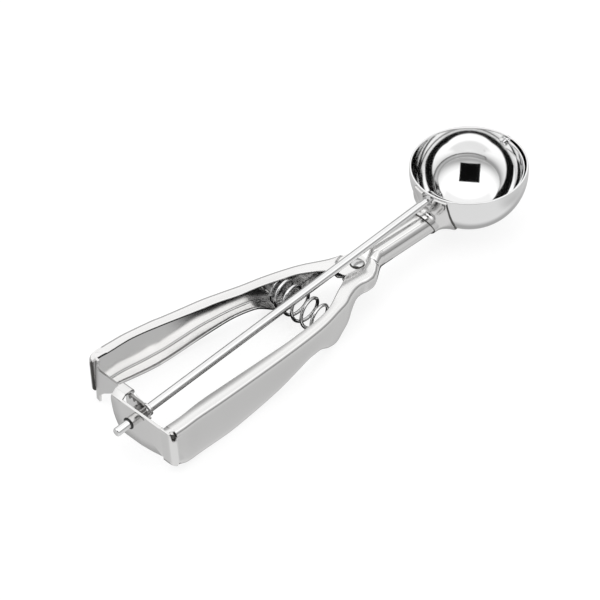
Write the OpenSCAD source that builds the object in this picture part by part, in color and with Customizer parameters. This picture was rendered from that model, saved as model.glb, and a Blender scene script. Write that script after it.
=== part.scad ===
// Lever ice cream scoop: two pressed-sheet handles on a rivet, a toothed arm
// that turns a long rod, and a blade that sweeps the inside of the bowl.
// Millimetres. The scoop lies on a table: +X from the handles to the bowl,
// +Z up. The origin is the middle of the footprint, on the table.

/* [Part] */
// which piece to draw

/* [Bowl] */
// outside radius of the bowl
bowl_r = 26.4; // [26.2:0.1:26.8]
// wall of the bowl
bowl_wall = 0.8; // [0.7:0.1:1]
// height of the rim above the rod's axis
rim_h = 3; // [2.6:0.1:3.4]

/* [Scraper] */
// outside radius of the blade
blade_r = 24.7; // [24.4:0.1:24.9]
// thickness of the blade
blade_t = 0.7; // [0.6:0.1:1]
// half of the blade's width
blade_w = 2.8; // [2.6:0.1:3.2]
// tilt of the resting blade below the horizontal, in degrees
blade_rest = 4.2; // [3:0.1:6]

/* [Rod and gear] */
// diameter of the rod
rod_d = 3.8; // [3.6:0.1:3.8]
// diameter of the thin journal at the bowl
journal_d = 3; // [2.8:0.1:3.2]
// module of the gear and the toothed arm
gear_m = 0.8; // [0.8:0.01:0.82]
// tooth width on the pitch line
tooth_w = 1; // [0.9:0.05:1.05]

/* [Handles] */
// thickness of the pressed sheet
sheet = 1.2; // [1.1:0.05:1.25]
// angle by which the moving handle stands open, in degrees
open_a = 8.8; // [8.6:0.1:9]

/* [Neck] */
// outside radius of the neck tube
neck_r = 5.6; // [5.5:0.1:5.7]
// wall of the neck tube
neck_wall = 1; // [0.9:0.1:1.1]

/* [Spring] */
// wire diameter of the spring
wire_d = 1.5; // [1.3:0.05:1.55]
// radius of the spring at the middle of its wire
coil_r = 6.4; // [6.2:0.05:6.45]

/* [Hidden] */
$fn = 64;
teeth = 9;
pitch_r = gear_m * teeth / 2;
rod_r = rod_d / 2;
journal_r = journal_d / 2;
step_x = -31.9;
rod_back = -212.2;
plate_x = -201.8;
// the handles' plane is tilted against the rod and starts at the rivet
pivot_x = -72.1;
pivot_z = -6.05;
tilt = 4.93;
// the scoop lies on the bowl and on the lower edges of both handles
lie = 2.476;
shift_x = 92.262;
shift_y = -6.184;
shift_z = 26.4;
neck_z = -1.75;

// ---- frames ---------------------------------------------------------------

// rod frame: origin in the bowl's centre, X along the rod to the bowl
module lying() translate([shift_x, shift_y, shift_z]) rotate([0, -lie, 0]) children();
// handle frame: origin on the rivet, Z square to the flanges, top at z = 0
module handles() lying() translate([pivot_x, 0, pivot_z]) rotate([0, tilt, 0]) children();
// rod frame seen from inside the handle frame
module rod_in_handles() rotate([0, -tilt, 0]) translate([-pivot_x, 0, -pivot_z]) children();
// cylinder along X from x0 to x1
module xcyl(r, x0, x1) translate([x0, 0, 0]) rotate([0, 90, 0]) cylinder(r = r, h = x1 - x0);
// prism with a YZ outline, from x0 to x1
module xprism(pts, x0, x1) translate([x0, 0, 0]) rotate([90, 0, 90]) linear_extrude(x1 - x0) polygon(pts);

// ---- smooth curves through chosen points ----------------------------------

function seg(p, x, i = 0) = (i >= len(p) - 2 || x <= p[i + 1][0]) ? i : seg(p, x, i + 1);
function chord(p, a, b) = (p[b][1] - p[a][1]) / (p[b][0] - p[a][0]);
function grad(p, i) = i == 0 ? chord(p, 0, 1) : i == len(p) - 1 ? chord(p, i - 1, i)
  : chord(p, i - 1, i) * chord(p, i, i + 1) <= 0 ? 0 : chord(p, i - 1, i + 1);
function at(p, x) = let (i = seg(p, x), h = p[i + 1][0] - p[i][0], t = (x - p[i][0]) / h)
  (2 * t * t * t - 3 * t * t + 1) * p[i][1] + (t * t * t - 2 * t * t + t) * h * grad(p, i)
  + (3 * t * t - 2 * t * t * t) * p[i + 1][1] + (t * t * t - t * t) * h * grad(p, i + 1);
function slope(p, x) = (at(p, x + 0.05) - at(p, x - 0.05)) / 0.1;
// the same curve moved inwards by one sheet
function inward(p, x) = at(p, x) - sheet * sqrt(1 + slope(p, x) * slope(p, x));

// outer wall of a handle: half width against x
wall = [[-137, 22], [-122, 22], [-114, 21.6], [-100, 21.5], [-80, 21], [-60, 20.2],
  [-45, 19.2], [-35, 18], [-26, 16], [-20, 14.5], [-15, 12.2], [-10.6, 10.7], [-7, 10.3], [-3.9, 10.75],
  [-0.9, 10.8], [2.4, 9.7], [5.5, 7.9], [8, 6.5], [10, 5.85], [12, 5.6]];
// the same for the moving handle
wall_moving = [[-137, 16.4], [-127, 18.4], [-121, 20.45], [-118.3, 20.9], [-112.9, 21.6], [-107.5, 22.2],
  [-102.4, 22.4], [-92.3, 22.46], [-87.5, 22.1], [-77.7, 21.7], [-67.6, 21.35], [-58, 20.3], [-48.5, 19.1],
  [-38.5, 18.3], [-28.9, 17], [-19.6, 15.1], [-11, 12.2], [-5, 10.2], [-2, 9.6], [3, 8.2], [12, 6]];
// free edge of the top flange
top_edge = [[-137, 16], [-120, 15.9], [-108, 14.9], [-96, 14.7], [-60, 14.7], [-49, 14.2],
  [-37, 13.3], [-28, 11.2], [-19, 6.9], [-13, 4.2], [-9.9, 2.35], [-8.6, 2.3], [-6.2, 2.85], [-3.5, 3.2],
  [-0.7, 3.55], [2.8, 3.25], [5.9, 2.6], [8.9, 2.3], [12, 2.3]];
top_moving = [[-137, 15], [-126, 15], [-121.6, 15.26], [-116.3, 15.94], [-110.8, 16.78], [-105.4, 17.41],
  [-100.4, 17.48], [-90.6, 17.03], [-81, 16.32], [-71.3, 15.6], [-61.6, 14.88], [-52.2, 13.47], [-42.2, 12.89],
  [-32.5, 11.62], [-23.3, 9.7], [-15.3, 6.12], [-11, 3.6], [-8, 1.5], [12, 1.5]];
// free edge of the bottom flange
low_edge = [[-137, 16], [-120, 15.6], [-60, 14.6], [-48, 13.6], [-38, 12.2], [-28, 8.6],
  [-20, 5], [-14, 2.5], [-9, 1.5], [12, 1.5]];
low_edge_moving = [[-137, 16], [-120, 15.6], [-60, 14.6], [-48, 13.6], [-38, 12.2], [-28, 10.6], [-24, 9.6],
  [-20, 8.8], [-16, 8.2], [-12, 7.4], [-9, 6.6], [12, 6.6]];
// lower outline of the fixed handle
low_fixed = [[-137, -18.4], [-128, -18.9], [-122, -20.9], [-112, -21.4], [-98, -21.4], [-85, -20.2],
  [-75, -18.9], [-66, -17.4], [-56, -14.9], [-49, -13.1], [-44, -12.9], [-40, -13.4],
  [-35, -16], [-29, -17.6], [-24, -15.4], [-20, -13.4], [-16, -10.6], [-12, -8.2], [-9, -7.9], [12, -7.9]];
// lower outline of the moving handle
low_moving = [[-137, -20], [-127, -20.1], [-120, -21.1], [-112, -21.25], [-98, -21.2], [-90, -20.5],
  [-82, -18.8], [-73, -16.7], [-63, -14.8], [-54, -13.2], [-47, -12.7], [-43, -13], [-39, -14.5],
  [-35, -16.4], [-29, -17.4], [-24, -15], [-20, -12.8], [-16, -9.8], [-12, -7], [-9, -6.6], [12, -6.6]];

xs_n = 46;
function stations(x0, x1) = [for (i = [0:xs_n]) x0 + (x1 - x0) * i / xs_n];
// outline in plan between the outer wall and a free edge, on the -Y side
function plan(side, edge, x0, x1) = let (s = stations(x0, x1)) concat(
  [for (x = s) [x, -at(side, x)]],
  [for (i = [xs_n:-1:0]) [s[i], -at(edge, s[i])]]);
function plan_in(side, x0, x1, gap = 0) = let (s = stations(x0, x1)) concat(
  [for (x = s) [x, gap - inward(side, x)]], [[x1, 14], [x0, 14]]);
function side(low, lift, top, x0, x1) = let (s = stations(x0, x1)) concat(
  [for (x = s) [x, at(low, x) + lift]], [[x1, top], [x0, top]]);
module side_prism(low, lift, top, x0, x1)
  translate([0, 16, 0]) rotate([90, 0, 0]) linear_extrude(42) polygon(side(low, lift, top, x0, x1));

// ---- bowl end -------------------------------------------------------------

module bowl() color("silver") lying() difference() {
  sphere(r = bowl_r, $fn = 128);
  sphere(r = bowl_r - bowl_wall, $fn = 128);
  translate([-30, -30, rim_h]) cube([60, 60, 40]);
  xcyl(2.3, -30, 0);
  xcyl(1.5, 0, 30);
}

// saddle on the bowl, lug under the rod and collar of the neck
module bowl_socket() color("gainsboro") lying() difference() {
  union() {
    intersection() {
      difference() {
        sphere(r = 27.7, $fn = 128);
        sphere(r = bowl_r + 0.02, $fn = 128);
      }
      xprism([[-9.2, 2.1], [-10.1, -3], [-10.4, -8], [-10.2, -13], [-8.6, -18], [-5.4, -21.6], [0, -23],
        [5.4, -21.6], [8.6, -18], [10.2, -13], [10.4, -8], [10.1, -3], [9.2, 2.1], [3.2, 2.1], [2.4, 0],
        [-2.4, 0], [-3.2, 2.1]], -30, -8);
    }
    difference() {
      intersection() {
        translate([pivot_x, 0, pivot_z]) rotate([0, tilt, 0]) difference() {
          translate([0, 0, neck_z]) rotate([0, 90, 0])
            rotate_extrude() polygon([[0, 39], [6.2, 39], [6.4, 42.6], [6.9, 45], [7.8, 47.1], [9.2, 49.4],
              [11.4, 52], [14, 55], [0, 55]]);
          // the collar's rear edge slopes forward towards its lower side
          translate([39.1, 0, 4.4]) rotate([0, -29.2, 0]) translate([-30, -20, -12.5]) cube([30, 40, 30]);
        }
        xprism([[-9.2, 1], [-10.1, -3], [-10.4, -8], [-10.2, -13], [-8.6, -18], [-5.4, -21.6], [0, -23],
          [5.4, -21.6], [8.6, -18], [10.2, -13], [10.4, -8], [10.1, -3], [9.2, 1]], -40, -8);
      }
      sphere(r = bowl_r + 0.02, $fn = 128);
    }
    difference() {
      translate([-30.4, -3.2, -9]) cube([7, 6.4, 7.6]);
      sphere(r = bowl_r + 0.02, $fn = 128);
    }
  }
  xcyl(2.3, -40, -20);
  translate([-50, -2.3, 0]) cube([30, 4.6, 4]);
  translate([pivot_x, 0, pivot_z]) rotate([0, tilt, 0]) translate([0, 0, neck_z]) xcyl(neck_r, 30, 44.5);
}

module front_bush() color("peru") lying() difference() {
  xcyl(2.3, -27.9, -25.1);
  xcyl(journal_r + 0.05, -30, -25);
}

module scraper_pin() color("gray") lying() union() {
  xcyl(1.5, 22.8, 26.4);
  translate([26.37, 0, 0]) rotate([0, 90, 0]) rotate_extrude() polygon([[0, 0], [2.6, 0], [2.6, 0.35],
    [2.3, 0.7], [1.6, 1], [0.8, 1.15], [0, 1.2]]);
}

module scraper() color("lightsteelblue") lying() rotate([blade_rest, 0, 0]) difference() {
  intersection() {
    difference() {
      sphere(r = blade_r, $fn = 128);
      sphere(r = blade_r - blade_t, $fn = 128);
    }
    union() {
      translate([-30, -30, -blade_w]) cube([60, 30, 2 * blade_w]);
      xcyl(blade_w + 0.3, -30, -20);
      xcyl(blade_w + 0.3, 20, 30);
    }
  }
  xcyl(journal_r, -30, 0);
  xcyl(1.6, 0, 30);
}

// ---- rod and gear ---------------------------------------------------------

module drive_rod() color("whitesmoke") lying() rotate([0, 90, 0]) rotate_extrude()
  polygon([[0, rod_back], [rod_r - 0.35, rod_back], [rod_r, rod_back + 0.35], [rod_r, step_x],
    [journal_r, step_x], [journal_r, -23], [0, -23]]);

// one tooth of the gear, its middle at angle a in the YZ plane
function tooth(a) = let (rb = pitch_r - 0.85, rt = pitch_r + 0.65,
    hb = asin((tooth_w / 2 + 0.28) / rb), hp = asin(tooth_w / 2 / pitch_r), ht = asin(0.27 / rt))
  [for (q = [[rb, -hb], [pitch_r, -hp], [rt, -ht], [rt, ht], [pitch_r, hp], [rb, hb]])
    [q[0] * cos(a + q[1]), q[0] * sin(a + q[1])]];
function gear_points() = [for (k = [0:teeth - 1]) each tooth(90 + 180 / teeth + k * 360 / teeth)];

module pinion() color("goldenrod") lying() difference() {
  xprism(gear_points(), -199.8, -196.5);
  xcyl(rod_r, -200, -190);
}

module retaining_clip() color("dimgray") lying() difference() {
  xcyl(2.7, -205.45, -204.85);
  xcyl(rod_r, -207, -204);
}

module rear_bush() color("slategray") lying() difference() {
  union() {
    xcyl(2.35, -204.75, -200.2);
    xcyl(3.2, plate_x + sheet, -200.1);
  }
  xcyl(rod_r + 0.05, -206, -190);
}

module guide_bush() color("lightgray") lying() difference() {
  xcyl(2.4, -195.3, -194);
  xcyl(rod_r + 0.05, -200, -190);
}

// ---- toothed arm ----------------------------------------------------------

hook_x = -124;
hook_y = 13.8;
hook_r = sqrt(hook_x * hook_x + hook_y * hook_y);
hook_a = atan(hook_y / -hook_x) + open_a;
// the hook's axis at rest, in the handle frame
rest_x = -hook_r * cos(hook_a);
rest_y = hook_r * sin(hook_a);
strip_x = -196.7;
strip_t = 1;
bend_y = 13.6;
// the straight part's middle plane, in the handle frame at the teeth
strip_h = (strip_x - pivot_x) * cos(tilt) - (pitch_r - pivot_z) * sin(tilt);
bend_a = atan((rest_x - strip_h) / (rest_y - bend_y));
tooth_pitch = PI * gear_m;

module rack_bend() handles() translate([strip_h, bend_y, 0]) rotate([0, 0, -bend_a]) children();

// outline in y and height above the rod's axis of the straight part
strip_out = [[bend_y, 5.4], [11.5, 5.3], [6, 5.2], [2.4, 5.15], [1, 5.1], [0, 4.9], [-0.6, 4.6], [-0.82, 4.35],
  [-0.3, 2.95], [11.9, 2.95], [12.5, 3.5], [bend_y, 3.5]];
// half widths of a gap between two teeth, at the root line and below the tips
gap_root = tooth_pitch / 2 - tooth_w / 2 - 0.28;
gap_low = tooth_pitch / 2 - tooth_w / 2 + 0.45;
// from the bend to the hook along the arm
arm = sqrt((rest_x - strip_h) * (rest_x - strip_h) + (rest_y - bend_y) * (rest_y - bend_y));

module rack() color("khaki") union() {
  // straight part with teeth
  difference() {
    intersection() {
      handles() translate([strip_h - strip_t / 2, -10, -20]) cube([strip_t, 10 + bend_y + 0.01, 30]);
      lying() xprism(strip_out, -205, -190);
    }
    lying() for (k = [0:4]) translate([0, (k + 0.5) * tooth_pitch, 0])
      xprism([[-gap_low, pitch_r - 1.5], [gap_low, pitch_r - 1.5], [gap_root, pitch_r + 0.85],
        [-gap_root, pitch_r + 0.85]], -205, -190);
  }
  // sloping arm and the T-shaped bar in the moving handle
  intersection() {
    rack_bend() translate([0, 0, 0]) rotate([90, 0, 90]) translate([0, 0, -strip_t / 2]) linear_extrude(strip_t)
      polygon([[-0.1, -1.15], [-0.1, 0.6], [1.5, 0.5], [7, -1.1], [13, -3], [17, -4.3], [arm - 0.2, -4.8],
        [arm - 0.2, -2.6], [arm - 1.3, -2.6], [arm - 1.3, 0.5], [arm + 1.3, 0.5], [arm + 1.3, -22], [arm - 1.3, -22],
        [arm - 1.3, -18.6], [16.5, -16.8], [14, -14.2], [10.7, -11.6], [7.6, -9.1], [4.3, -6], [2.6, -3.4],
        [1.3, -2.7], [0.6, -1.6]]);
    lying() translate([-220, -60, -60]) cube([60, 120, 90]);
  }
}

// ---- handles --------------------------------------------------------------

// keeps what lies in front of a rounded rear corner, in the rod frame
module rear_corner(x, r) linear_extrude(80, center = true) union() {
  translate([plate_x + 3, -19]) circle(r = r);
  translate([plate_x + 3, -19 - r]) square([260, 80]);
  translate([x, -19]) square([260, 80]);
}

// the neck's lower half, open from the seam at the top to the +Y side
module trough() translate([7.2, 0, neck_z]) rotate([90, 0, 90]) linear_extrude(37.3) difference() {
  circle(r = neck_r);
  circle(r = neck_r - neck_wall);
  polygon([[0, 0], [-10 * sin(39), 10 * cos(39)], [0, 14], [14, 10], [14, 0]]);
}

module fixed_handle() color("lightgray") handles() difference() {
  union() {
    difference() {
      intersection() {
        union() {
          translate([0, 0, -4]) linear_extrude(5) polygon(plan(wall, top_edge, -136, 7.6));
          translate([0, 0, -25]) linear_extrude(21) polygon(plan(wall, low_edge, -136, 7.6));
        }
        side_prism(low_fixed, 0, 0, -136, 7.6);
        rod_in_handles() rear_corner(plate_x, 3);
      }
      intersection() {
        translate([0, 0, -26]) linear_extrude(27) polygon(plan_in(wall, -136, 8));
        side_prism(low_fixed, sheet, -sheet, -136, 8);
        rod_in_handles() rear_corner(plate_x + sheet, 1.8);
      }
    }
    trough();
    // pad under the rivet
    difference() {
      translate([0, 0, -7.9]) cylinder(r = 6.4, h = sheet);
      translate([5.4, -10, -10]) cube([10, 20, 10]);
    }
    rod_in_handles() {
      // end plate
      xprism([[-20, 4.9], [13.3, 4.9], [14.1, 2.5], [14.1, 0.5], [13.9, -3], [13.6, -6], [12.6, -9.6],
        [11.4, -11.9], [9.8, -13.4], [8, -14.1], [6.4, -14.2], [-2, -14.2], [-8.4, -13.2], [-15, -11.6],
        [-15.3, -13.4], [-20, -13.8]], plate_x, plate_x + sheet);
      // tab that rises from the end plate towards the bridge
      translate([0, 13.2, 0]) rotate([90, 0, 0]) linear_extrude(5.7)
        polygon([[plate_x, 4.4], [plate_x, 4.9], [-199.16, 6.93], [-199.16, 5.93],
          [-200.6, 4.8], [-200.6, 4.4]]);
    }
  }
  translate([0, 0, -20]) cylinder(r = 2.2, h = 30);
  rod_in_handles() xcyl(2.35, -210, -190);
}

module rack_guide() color("tan") lying() difference() {
  union() {
    translate([0, 13.2, 0]) rotate([90, 0, 0]) linear_extrude(5.7)
      polygon([[-199.11, 5.93], [-199.11, 6.93], [-196.2, 6.93], [-195.3, 6.75], [-194.6, 6.3], [-194.3, 5.6],
        [-194.3, 4.7], [-195.3, 4.7], [-195.3, 5.93]]);
    xprism([[13.2, 5.8], [7.5, 5.8], [7.4, 4.6], [6.5, 3.8], [5, 3.2], [3.4, 2.6], [1.8, 2.2], [0, 0], [0, -2.8],
      [3.6, -4.6], [8.5, -6], [12.6, -6], [12.6, -0.5], [13.2, 2]], -195.3, -194.3);
    xcyl(2.9, -195.3, -194.3);
  }
  xcyl(2.4, -200, -190);
}

// landing plate over the rivet, step and upper half of the neck tube
module neck_shell() color("white") handles() difference() {
  union() {
    translate([0, 0, -sheet]) linear_extrude(sheet) polygon([[8.2, -2.2], [5.9, -2.5], [2.8, -3.15],
      [-0.7, -3.45], [-3.5, -3.1], [-6.2, -2.75], [-8.6, -2.2], [-9.4, -1.6], [-9.7, 0], [-10, 3.4], [-9.2, 5.6], [-7.4, 7.4], [-4.6, 8.6], [-1, 8.8], [3, 7.6], [8.2, 5.4]]);
    intersection() {
      translate([7.2, 0, neck_z]) rotate([90, 0, 90]) linear_extrude(1.2) circle(r = neck_r);
      translate([0, 0, -sheet]) linear_extrude(10) polygon([[0, -2.2], [20, -2.2], [20, 9], [0, 9]]);
    }
    translate([7.2, 0, neck_z]) rotate([90, 0, 90]) linear_extrude(37.3) difference() {
      circle(r = neck_r);
      circle(r = neck_r - neck_wall);
      polygon([[0, 0], [-10 * sin(38.6), 10 * cos(38.6)], [-12, 0], [-12, -12], [12, -12], [12, 0.04], [0, 0.04]]);
    }
  }
  translate([0, 0, -20]) cylinder(r = 2.2, h = 30);
}

module moving_handle() color("aliceblue") handles() rotate([0, 0, -open_a]) mirror([0, 1, 0]) difference() {
  union() {
    difference() {
      intersection() {
        union() {
          translate([0, 0, -4]) linear_extrude(5) polygon(plan(wall_moving, top_moving, -127, 0.5));
          translate([0, 0, -25]) linear_extrude(21) polygon(plan(wall_moving, low_edge_moving, -127, 0.5));
        }
        side_prism(low_moving, 0, 0, -127, 0.5);
        linear_extrude(80, center = true) union() {
          translate([-123, -17.5]) circle(r = 3);
          translate([-123, -23]) square([260, 80]);
          translate([-126, -17.5]) square([260, 80]);
        }
      }
      intersection() {
        translate([0, 0, -26]) linear_extrude(27) polygon(plan_in(wall_moving, -126, 2));
        side_prism(low_moving, sheet, -sheet, -126, 2);
        linear_extrude(80, center = true) union() {
          translate([-123, -17.5]) circle(r = 1.8);
          translate([-123, -22]) square([260, 80]);
          translate([-124.8, -17.5]) square([260, 80]);
        }
      }
      // nothing above the lug under the landing plate
      translate([0, 0, -1.3]) cylinder(r = 11, h = 5);
    }
    // lugs round the rivet
    intersection() {
      union() {
        translate([0, 0, -2.5]) linear_extrude(sheet) union() {
          circle(r = 5.2);
          polygon([[-16, -13], [-16, -6.8], [-9, -3], [-5, -1], [-1, -4], [0.5, -5], [0.5, -9.2]]);
        }
        translate([0, 0, -6.6]) linear_extrude(sheet) union() {
          circle(r = 5.2);
          polygon([[-8, -9.8], [-8, -3.4], [-5, -1.2], [-1, -4], [0.5, -5], [0.5, -9.2], [-4, -9.5]]);
        }
      }
      linear_extrude(40, center = true) polygon(concat([for (x = stations(-30, 0.5)) [x, -at(wall_moving, x) + 0.02]],
        [[6, -4], [6, 8], [-30, 8]]));
    }
  }
  // notches for the arm's bar
  translate([hook_x, -hook_y, -30]) cylinder(r = 2.1, h = 40);
  translate([hook_x - 2.1, -hook_y, -30]) cube([4.2, 8, 40]);
  // open rear between the corner and the bar
  translate([-140, -15.6, -30]) cube([15.9, 30, 40]);
  translate([0, 0, -20]) cylinder(r = 2.28, h = 30);
}

// ---- rivet ----------------------------------------------------------------

module pivot_rivet() color("darkgray") handles() union() {
  translate([0, 0, -7.9]) cylinder(r = 2.2, h = 7.9);
  rotate_extrude() polygon([[0, 0], [3.3, 0], [3.25, 0.3], [3, 0.65], [2.4, 0.95], [1.6, 1.12], [0.8, 1.2], [0, 1.22]]);
  translate([0, 0, -7.9]) rotate([180, 0, 0]) rotate_extrude()
    polygon([[0, 0], [3.3, 0], [3.2, 0.4], [2.6, 0.7], [1.6, 0.85], [0, 0.9]]);
}

module pivot_sleeve() color("burlywood") handles() difference() {
  translate([0, 0, -5.35]) cylinder(r = 3.4, h = 2.8);
  translate([0, 0, -6]) cylinder(r = 2.2, h = 5);
}

// ---- spring ---------------------------------------------------------------

// height along the spring at which its wire passes over the top, turn by turn
climb = [[-0.05, 18.62], [0, 18.6], [1, 14.8], [2, 10.3], [3, 5.2], [4, -0.5], [5, -6.5], [6, -12.1], [6.75, -13]];
end_r = 5.05;
steps = 18;
sides = 8;
total = 122;
fixed_x = -30.6;
fixed_z = -8.6;
moving_x = -29.8;
moving_z = -7.8;
function ease(t) = let (q = max(0, min(1, t))) q * q * (3 - 2 * q);
function coil(u) = let (k = -0.05 + 6.8 * u, a = 56 + 360 * k, y = at(climb, k), f = (y + 13) / 31.6,
    r = end_r + (coil_r - end_r) * min(ease(k / 1.25), ease((6.1 - k) / 0.85)))
  [fixed_x + (moving_x - fixed_x) * f + r * cos(a), y, fixed_z + (moving_z - fixed_z) * f + r * sin(a)];
function unit(v) = v / norm(v);
function ring(i) = let (u = i / total, c = coil(u), d = unit(coil(min(1, u + 0.001)) - coil(max(0, u - 0.001))),
    n = unit(cross(d, [0, 1, 0])), b = cross(d, n))
  [for (k = [0:sides - 1]) c + wire_d / 2 * (cos(360 * k / sides) * n + sin(360 * k / sides) * b)];
module handle_spring() color("darkorange") handles() polyhedron(
  points = [for (i = [0:total]) each ring(i)],
  faces = concat([[for (k = [0:sides - 1]) k]],
    [for (i = [0:total - 1]) for (k = [0:sides - 1]) let (a = i * sides + k, b = i * sides + (k + 1) % sides)
      [a, a + sides, b + sides, b]],
    [[for (k = [sides - 1:-1:0]) total * sides + k]]), convexity = 8);

// bosses that fill the end coils
module spring_seat_fixed() color("steelblue") handles() intersection() {
  translate([fixed_x, 0, fixed_z]) rotate([90, 0, 0]) cylinder(r = 3.9, h = 19);
  translate([0, 0, -26]) linear_extrude(27) polygon(plan_in(wall, -60, -20, 0.1));
  translate([-60, -20, -20]) cube([40, 7.8, 20]);
}
module spring_seat_moving() color("steelblue") handles() intersection() {
  translate([moving_x, 26, moving_z]) rotate([90, 0, 0]) cylinder(r = 3.9, h = 8.6);
  rotate([0, 0, -open_a]) mirror([0, 1, 0]) translate([0, 0, -26]) linear_extrude(27)
    polygon(plan_in(wall_moving, -60, -20, 0.1));
}

// ---------------------------------------------------------------------------

bowl();
bowl_socket();
front_bush();
fixed_handle();
rack_guide();
neck_shell();
moving_handle();
pivot_rivet();
pivot_sleeve();
handle_spring();
spring_seat_fixed();
spring_seat_moving();
drive_rod();
pinion();
rack();
rear_bush();
guide_bush();
retaining_clip();
scraper();
scraper_pin();
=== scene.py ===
import bpy
import math
import numpy as np
from mathutils import Matrix


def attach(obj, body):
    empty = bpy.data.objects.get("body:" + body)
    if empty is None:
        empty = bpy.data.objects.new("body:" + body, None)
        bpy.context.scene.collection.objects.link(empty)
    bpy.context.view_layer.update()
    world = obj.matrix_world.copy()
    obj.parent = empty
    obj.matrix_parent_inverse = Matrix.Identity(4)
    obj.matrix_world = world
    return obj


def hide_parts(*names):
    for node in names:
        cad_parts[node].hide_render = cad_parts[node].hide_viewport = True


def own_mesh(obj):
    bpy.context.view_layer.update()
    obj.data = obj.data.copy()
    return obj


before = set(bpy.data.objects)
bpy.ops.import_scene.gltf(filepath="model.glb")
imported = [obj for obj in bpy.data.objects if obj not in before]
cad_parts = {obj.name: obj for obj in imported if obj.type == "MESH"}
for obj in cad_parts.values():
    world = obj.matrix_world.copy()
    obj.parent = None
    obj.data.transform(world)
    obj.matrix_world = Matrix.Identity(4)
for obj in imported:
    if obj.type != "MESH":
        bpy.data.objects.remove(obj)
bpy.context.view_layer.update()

# ---------------------------------------------------------------- frames ----
# The same frames as the part: the rod frame (origin in the bowl's centre, X
# along the rod) and the handle frame (origin on the rivet), in millimetres.
LIE, TILT = math.radians(2.476), math.radians(4.93)
SHIFT = np.array([92.262, -6.184, 26.4])
PIVOT = np.array([-72.1, 0.0, -6.05])
OPEN = 8.8
NECK_Z = -1.75


def rot_y(a):
    c, s = math.cos(a), math.sin(a)
    return np.array([[c, 0, s], [0, 1, 0], [-s, 0, c]])


RL, RT = rot_y(-LIE), rot_y(TILT)


def rod(p):
    return (np.asarray(p, float).reshape(-1, 3) @ RL.T + SHIFT) / 1000.0


def hnd(p):
    return rod(np.asarray(p, float).reshape(-1, 3) @ RT.T + PIVOT)


def lever(p):
    """Points of a handle drawn on the -Y side, mirrored and swung open."""
    p = np.asarray(p, float).reshape(-1, 3) * [1, -1, 1]
    a = math.radians(-OPEN)
    c, s = math.cos(a), math.sin(a)
    return hnd(np.stack([p[:, 0] * c - p[:, 1] * s, p[:, 0] * s + p[:, 1] * c, p[:, 2]], 1))


# ---------------------------------------------------------- smooth curves ----
class Curve:
    """A smooth curve y(x) through chosen points, flat at turning points."""

    def __init__(self, pts):
        p = np.array(pts, float)
        self.x, self.y = p[:, 0], p[:, 1]
        n = len(p)
        d = np.diff(self.y) / np.diff(self.x)
        m = np.zeros(n)
        m[0], m[-1] = d[0], d[-1]
        for i in range(1, n - 1):
            if d[i - 1] * d[i] > 0:
                m[i] = (self.y[i + 1] - self.y[i - 1]) / (self.x[i + 1] - self.x[i - 1])
        self.m = m

    def __call__(self, x):
        i = int(np.clip(np.searchsorted(self.x, x, side="left") - 1, 0, len(self.x) - 2))
        h = self.x[i + 1] - self.x[i]
        t = (x - self.x[i]) / h
        t2, t3 = t * t, t * t * t
        return ((2 * t3 - 3 * t2 + 1) * self.y[i] + (t3 - 2 * t2 + t) * h * self.m[i]
                + (3 * t2 - 2 * t3) * self.y[i + 1] + (t3 - t2) * h * self.m[i + 1])

    def slope(self, x):
        return (self(x + 0.05) - self(x - 0.05)) / 0.1


def smooth(a, b, x):
    t = min(1.0, max(0.0, (x - a) / (b - a)))
    return t * t * (3 - 2 * t)


WALL = Curve([[-137, 22], [-122, 22], [-114, 21.6], [-100, 21.5], [-80, 21], [-60, 20.2],
              [-45, 19.2], [-35, 18], [-26, 16], [-20, 14.5], [-15, 12.2], [-10.6, 10.7], [-7, 10.3], [-3.9, 10.75],
              [-0.9, 10.8], [2.4, 9.7], [5.5, 7.9], [8, 6.5], [10, 5.85], [12, 5.6], [16, 5.6]])
TOP = Curve([[-137, 16], [-120, 15.9], [-108, 14.9], [-96, 14.7], [-60, 14.7], [-49, 14.2],
             [-37, 13.3], [-28, 11.2], [-19, 6.9], [-13, 4.2], [-9.9, 2.35], [-8.6, 2.3], [-6.2, 2.85], [-3.5, 3.2],
             [-0.7, 3.55], [2.8, 3.25], [5.9, 2.6], [8.9, 2.6], [12, 3.4], [16, 3.52]])
LOW = Curve([[-137, 16], [-120, 15.6], [-60, 14.6], [-48, 13.6], [-38, 12.2], [-28, 8.6],
             [-20, 5], [-14, 2.5], [-9, 1.5], [12, 1.5], [16, 1.5]])
LOW_FIXED = Curve([[-137, -18.4], [-128, -18.9], [-122, -20.9], [-112, -21.4], [-98, -21.4], [-85, -20.2],
                   [-75, -18.9], [-66, -17.4], [-56, -14.9], [-49, -13.1], [-44, -12.9], [-40, -13.4],
                   [-35, -16], [-29, -17.6], [-24, -15.4], [-20, -13.4], [-16, -10.6], [-12, -8.2], [-9, -7.9],
                   [4, -7.9], [10, -7.45], [16, -7.35]])
WALL_M = Curve([[-137, 16.4], [-127, 18.4], [-121, 20.45], [-118.3, 20.9], [-112.9, 21.6], [-107.5, 22.2],
                [-102.4, 22.4], [-92.3, 22.46], [-87.5, 22.1], [-77.7, 21.7], [-67.6, 21.35], [-58, 20.3],
                [-48.5, 19.1], [-38.5, 18.3], [-28.9, 17], [-19.6, 15.1], [-11, 12.2], [-5, 10.2], [-2, 9.6],
                [3, 8.2], [12, 6]])
TOP_M = Curve([[-137, 15], [-126, 15], [-121.6, 15.26], [-116.3, 15.94], [-110.8, 16.78], [-105.4, 17.41],
               [-100.4, 17.48], [-90.6, 17.03], [-81, 16.32], [-71.3, 15.6], [-61.6, 14.88], [-52.2, 13.47],
               [-42.2, 12.89], [-32.5, 11.62], [-23.3, 9.7], [-15.3, 6.12], [-11, 3.6], [-8, 1.5], [12, 1.5]])
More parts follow.
